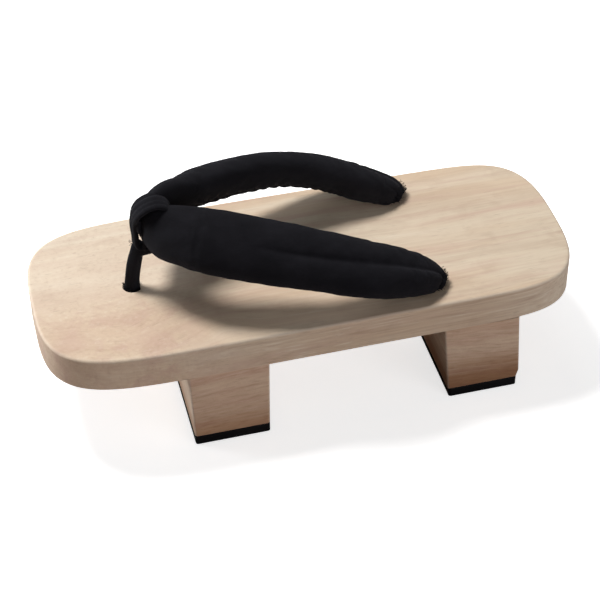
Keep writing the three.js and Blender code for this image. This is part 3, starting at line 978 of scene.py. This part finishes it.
def stitchRecipe():
    recipe = Recipe("seamStitches", dict(pitch=0.0033, long=0.002, thick=0.0004, lean=0.3, seed=3))
    seam = recipe.node("GeometryNodeMeshToCurve", inputs={"Mesh": recipe.size("Shape")})
    spaced = recipe.node("GeometryNodeResampleCurve", {"mode": "LENGTH"},
                         {"Curve": seam, "Length": recipe.size("pitch")})
    tangent = recipe.node("GeometryNodeInputTangent")
    aimed = recipe.node("FunctionNodeAlignRotationToVector", {"axis": "X"}, {"Vector": tangent})
    seed = recipe.size("seed")
    tilt = recipe.chance(0.4, 1.0, seed) * recipe.size("lean")
    tipped = recipe.node("FunctionNodeEulerToRotation", inputs={"Euler": recipe.vector(0.0, 0.0, tilt)})
    turned = recipe.node("FunctionNodeRotateRotation", {"rotation_space": "LOCAL"},
                         {"Rotation": aimed, "Rotate By": tipped})
    thread = recipe.node("GeometryNodeMeshUVSphere", inputs={"Segments": 8, "Rings": 6, "Radius": 0.5})
    long = recipe.size("long") * recipe.chance(0.75, 1.1, seed, 1)
    sized = recipe.vector(long, recipe.size("thick"), recipe.size("thick"))
    inputs = {"Points": spaced, "Instance": thread, "Rotation": turned, "Scale": sized}
    laid = recipe.node("GeometryNodeInstanceOnPoints", inputs=inputs)
    recipe.close(laid, thongCloth)
    return recipe


def frayRecipe():
    recipe = Recipe("frayedThreads", dict(long=0.002, thick=0.00009, seed=5))
    seed = recipe.size("seed")
    aim = recipe.node("GeometryNodeInputNamedAttribute", {"data_type": "FLOAT_VECTOR"}, {"Name": "aim"})
    spin = recipe.node("FunctionNodeAxisAngleToRotation",
                       inputs={"Axis": (0, 0, 1), "Angle": recipe.chance(0.0, 6.283, seed)})
    inputs = {"Rotation": spin, "Vector": aim}
    aimed = recipe.node("FunctionNodeAlignRotationToVector", {"axis": "Z"}, inputs)
    bend = {"Resolution": 5, "Start": (0, 0, -0.1), "Middle": (0.03, 0, 0.6), "End": (0.42, 0.1, 0.92)}
    hair = recipe.node("GeometryNodeCurveQuadraticBezier", inputs=bend)
    section = recipe.node("GeometryNodeCurvePrimitiveCircle",
                          inputs={"Resolution": 4, "Radius": recipe.size("thick") / recipe.size("long")})
    strand = recipe.node("GeometryNodeCurveToMesh",
                         inputs={"Curve": hair, "Profile Curve": section, "Fill Caps": True})
    long = recipe.size("long") * recipe.chance(0.35, 1.15, seed, 1)
    sized = recipe.vector(long, long, long)
    inputs = {"Points": recipe.size("Shape"), "Instance": strand, "Rotation": aimed, "Scale": sized}
    grown = recipe.node("GeometryNodeInstanceOnPoints", inputs=inputs)
    recipe.close(grown, thongCloth)
    return recipe


def sewSeams():  # one line of stitches along the underside of each arm
    run, angle = placesOf(strap, "run"), angleOf(strap)
    places, normals = vectors(strap.data) / mm, vectors(strap.data, "normal")
    away = np.abs(fromAngle(angle, strapShape["seam"]["at"]))
    points, edges = [], []
    for side in (-1, 1):
        first = len(points)
        for stop in np.arange(stitchPlan["start"], stitchPlan["stop"], 1.5) * side:
            best = np.argmin(away * 14 + np.abs(run - stop))
            points.append(places[best] + normals[best] * stitchPlan["lift"])
        edges += [(k, k + 1) for k in range(first, len(points) - 1)]
    made = piece("seamStitches", points, edges=edges)
    sizes = {key: stitchPlan[key] * mm for key in ("pitch", "long", "thick")}
    return stitchRecipe().applied(made, dict(sizes, lean=stitchPlan["lean"], seed=stitchPlan["seed"]))


def fraySome(name, recipe, host, chosen, plan, push, seed):
    rng = np.random.default_rng(seed)
    picks = rng.choice(np.flatnonzero(chosen), plan["count"], replace=False)
    places, normals = vectors(host.data)[picks] / mm, vectors(host.data, "normal")[picks]
    aims = normals + np.asarray(push) + rng.normal(0, 0.25, normals.shape)
    made = piece(name, places)
    kept = made.data.attributes.new("aim", "FLOAT_VECTOR", "POINT")
    kept.data.foreach_set("vector", unit(aims).astype(np.float32).ravel())
    return recipe.applied(made, dict(long=plan["long"] * mm, thick=frayPlan["thick"] * mm, seed=seed))


def makeFrays():
    recipe, seed, plan = frayRecipe(), frayPlan["seed"], frayPlan
    along = placesOf(strap, "along")
    spots = vectors(strap.data) / mm
    x, y, z = (vectors(toeThong.data) / mm).T
    made = []
    for side, name in ((-1, "nearTipThreads"), (1, "farTipThreads")):
        chosen = (along > 58.5) & (spots[:, 1] * side > 0) & (spots[:, 2] > sole["top"] + 0.6)
        made.append(fraySome(name, recipe, strap, chosen, plan["tips"], (0.5, 0, 0.35), seed + side))
    low = (z > sole["top"] + 0.1) & (z < sole["top"] + 0.9) & (x < -84.5)
    made.append(fraySome("baseThreads", recipe, toeThong, low, plan["base"], (-0.7, -0.3, 0.0), seed + 2))
    neck = (z > 86) & (z < 91) & (x < -81) & (y < 1)
    made.append(fraySome("neckThreads", recipe, toeThong, neck, plan["neck"], (-0.6, -0.2, 0.3), seed + 4))
    return made


seamStitches = sewSeams()
frays = makeFrays()
print("stitches and frayed threads made")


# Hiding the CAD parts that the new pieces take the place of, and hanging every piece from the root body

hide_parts("strap")
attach(strap, "root")

replacing = [(toeThong, "toe_thong", "black_cloth"), (board, "sole_board", "pale_wood"),
             (teethMade["front"], "front_tooth", "pale_wood"), (teethMade["rear"], "rear_tooth", "pale_wood"),
             (padsMade["front"], "front_pad", "black_rubber"), (padsMade["rear"], "rear_pad", "black_rubber")]
for made, node, slot in replacing:
    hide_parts(node)
    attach(made, "root")
for made in (strapTails, seamStitches, *frays):
    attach(made, "root")


# Floor

def makeFloor():
    paper = Finish("studioFloor", roughness=0.9, specular=0.1)
    paper.shader.inputs["Base Color"].default_value = (*lightPlan["floor"], 1)
    paper.shader.inputs["Emission Color"].default_value = (1, 1, 1, 1)
    paper.shader.inputs["Emission Strength"].default_value = lightPlan["floorGlow"]
    dim = paper.node("BsdfDiffuse", inputs={"Color": (*lightPlan["bounce"], 1)})  # as the object sees it
    seen = paper.node("LightPath", output="Is Camera Ray")
    both = paper.node("MixShader", inputs={0: seen, 1: dim, 2: Flow(paper.tree, paper.shader.outputs[0])})
    paper.tree.links.new(both.socket, paper.tree.nodes["Material Output"].inputs["Surface"])
    half = 4000.0
    points = [(-half, -half, 0), (half, -half, 0), (half, half, 0), (-half, half, 0)]
    floor = piece("floor", points, [(0, 1, 2, 3)], paper.material, smooth=False)


makeFloor()
